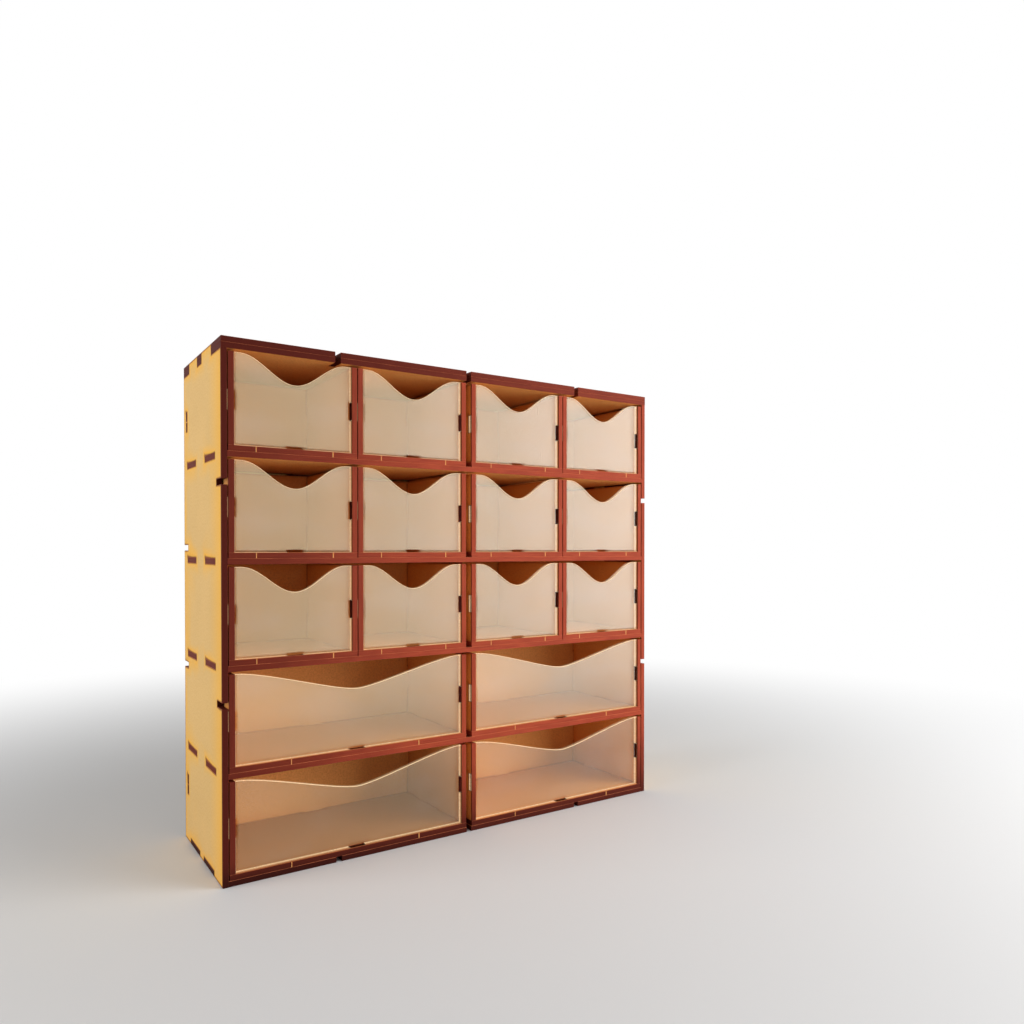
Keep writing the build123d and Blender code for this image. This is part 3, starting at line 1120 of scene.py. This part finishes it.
def mark_piece(body, marks, tree, material, settings, thickness):
    """The break marks of one body as a plain mesh."""
    places, along, out = zip(*marks)
    points = bpy.data.meshes.new(f"{body}_mark_points")
    points.from_pydata(places, [], [])
    store(points, "along", "FLOAT_VECTOR", "vector", along)
    store(points, "out", "FLOAT_VECTOR", "vector", out)
    source = new_object(points.name, points)
    modifier = source.modifiers.new("break_marks", "NODES")
    modifier.node_group = tree
    values = {"Length": thickness, "Width": settings.width, "Proud": settings.proud,
              "Seed": settings.seed, "Material": material}
    for item in tree.interface.items_tree:
        if item.in_out == "INPUT" and item.name in values:
            modifier[item.identifier] = values[item.name]
    graph = bpy.context.evaluated_depsgraph_get()
    mesh = bpy.data.meshes.new_from_object(source.evaluated_get(graph), depsgraph=graph)
    bpy.data.objects.remove(source)
    if not mesh.polygons:
        raise RuntimeError(f"{body} got no break marks")
    mesh.name = f"{body}_break_marks"
    made = new_object(mesh.name, mesh)
    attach(made, body)


class StandBreakMarks(bpy.types.Operator):
    """Lay the marks where the boards were broken out of their sheet"""

    bl_idname = "stand.break_marks"
    bl_label = "Break marks"

    def execute(self, context):
        settings = context.scene.stand_marks
        tree = break_mark_tree()
        material = torn_fibre_material(settings)
        low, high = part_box("bottom_board")
        thickness = (high.z - low.z) * MARK_COVER
        for drawer in DRAWERS:
            mark_piece(drawer, drawer_marks(drawer, settings), tree, material, settings, thickness)
        mark_piece(CASE, case_marks(), tree, material, settings, thickness)
        return {"FINISHED"}


# Stage


def add_camera(scene, settings):
    """The camera of the photograph."""
    data = bpy.data.cameras.new("camera")
    data.sensor_width = SENSOR_MM
    data.lens = settings.focal_pixels * SENSOR_MM / PHOTO_SIDE
    data.shift_y = settings.centre_drop / PHOTO_SIDE
    data.clip_start = NEAREST
    camera = new_object("camera", data)
    camera.location = settings.place
    camera.rotation_euler = (math.pi / 2 + settings.pitch, 0, -settings.heading)
    scene.camera = camera


def add_lamp(name, place, target, width, height, power):
    """A soft lamp that faces a point."""
    data = bpy.data.lights.new(name, "AREA")
    data.shape = "RECTANGLE"
    data.size = width
    data.size_y = height
    data.energy = power
    away = target - Vector(place)
    turn = away.to_track_quat("-Z", "Y").to_matrix().to_4x4()
    new_object(name, data).matrix_world = Matrix.Translation(place) @ turn


def sees_background(tree):
    """1 for the rays that show the background, 0 for those that light the object."""
    path = add(tree, "ShaderNodeLightPath")
    return larger(larger(path["Is Camera Ray"], path["Is Glossy Ray"]), path["Is Transmission Ray"])


def add_world(scene, settings):
    """White behind the object, and a plain level of light from all round."""
    world = bpy.data.worlds.new("daylight")
    world.use_nodes = True
    tree = world.node_tree
    tree.nodes.clear()
    strength = add(tree, "ShaderNodeMapRange", {
        "Value": sees_background(tree), "To Min": settings.daylight, "To Max": 1.0})
    background = add(tree, "ShaderNodeBackground", {"Color": WHITE, "Strength": strength})
    feed(tree.nodes.new("ShaderNodeOutputWorld"), {"Surface": background})
    scene.world = world


def floor_material(settings):
    """A plain pale floor that fades into the background."""
    material, tree, shader = new_material("floor")
    feed(shader, {"Base Color": settings.floor, "Roughness": 0.9})
    distance = add(tree, "ShaderNodeVectorMath", {0: stand_coordinates(tree)}, operation="LENGTH")["Value"]
    white = add(tree, "ShaderNodeEmission", {"Color": WHITE, "Strength": 1.0})
    mixed = add(tree, "ShaderNodeMixShader", {
        0: fade(distance, *FLOOR_FADE) * sees_background(tree), 1: Wire(shader.outputs["BSDF"]), 2: white})
    feed(tree.nodes["Material Output"], {"Surface": mixed})
    return material


def add_floor(settings):
    """A wide floor under the stand."""
    mesh = bpy.data.meshes.new("floor")
    corners = [(x * FLOOR_REACH, y * FLOOR_REACH, 0) for x, y in ((-1, -1), (1, -1), (1, 1), (-1, 1))]
    mesh.from_pydata(corners, [], [(0, 1, 2, 3)])
    mesh.materials.append(floor_material(settings))
    floor = new_object("floor", mesh)


class StandStage(bpy.types.Operator):
    """Set up the camera, the lamps, the floor and the background"""

    bl_idname = "stand.stage"
    bl_label = "Stage"

    def execute(self, context):
        scene = context.scene
        settings = scene.stand_stage
        add_camera(scene, settings)
        centre = (cad_box[0] + cad_box[1]) / 2
        for name, place, width, height in LAMPS:
            add_lamp(name, place, centre, width, height, getattr(settings, name))
        add_world(scene, settings)
        add_floor(settings)
        scene.view_settings.view_transform = "Standard"
        return {"FINISHED"}


# Panel and registration


class StandPanel(bpy.types.Panel):
    """Lists the stand's pieces and their settings"""

    bl_idname = "VIEW3D_PT_stand"
    bl_label = "Drawer stand"
    bl_space_type = "VIEW_3D"
    bl_region_type = "UI"
    bl_category = "Stand"

    def draw(self, context):
        for label, group, operators in SECTIONS:
            box = self.layout.box()
            box.label(text=label)
            settings = getattr(context.scene, group)
            for name in settings.__annotations__:
                box.prop(settings, name)
            for operator in operators:
                box.operator(operator.bl_idname)


SECTIONS = (
    ("Boards", "stand_boards", (StandSideBoards, StandLevelBoards, StandUprights, StandDrawerBoxes)),
    ("Clear fronts", "stand_clear", (StandClearFronts,)),
    ("Break marks", "stand_marks", (StandBreakMarks,)),
    ("Stage", "stand_stage", (StandStage,)),
)
SETTINGS = {
    "stand_boards": StandBoardSettings,
    "stand_clear": StandClearSettings,
    "stand_marks": StandMarkSettings,
    "stand_stage": StandStageSettings,
}
OPERATORS = tuple(operator for _, _, operators in SECTIONS for operator in operators)
CLASSES = (*SETTINGS.values(), *OPERATORS, StandPanel)


def register():
    for cls in CLASSES:
        bpy.utils.register_class(cls)
    for name, group in SETTINGS.items():
        setattr(bpy.types.Scene, name, bpy.props.PointerProperty(type=group))


def unregister():
    for name in SETTINGS:
        delattr(bpy.types.Scene, name)
    for cls in reversed(CLASSES):
        bpy.utils.unregister_class(cls)


def main():
    """Makes every piece in order."""
    register()
    for operator in OPERATORS:
        area_name, name = operator.bl_idname.split(".")
        getattr(getattr(bpy.ops, area_name), name)()


if __name__ == "__main__":
    main()
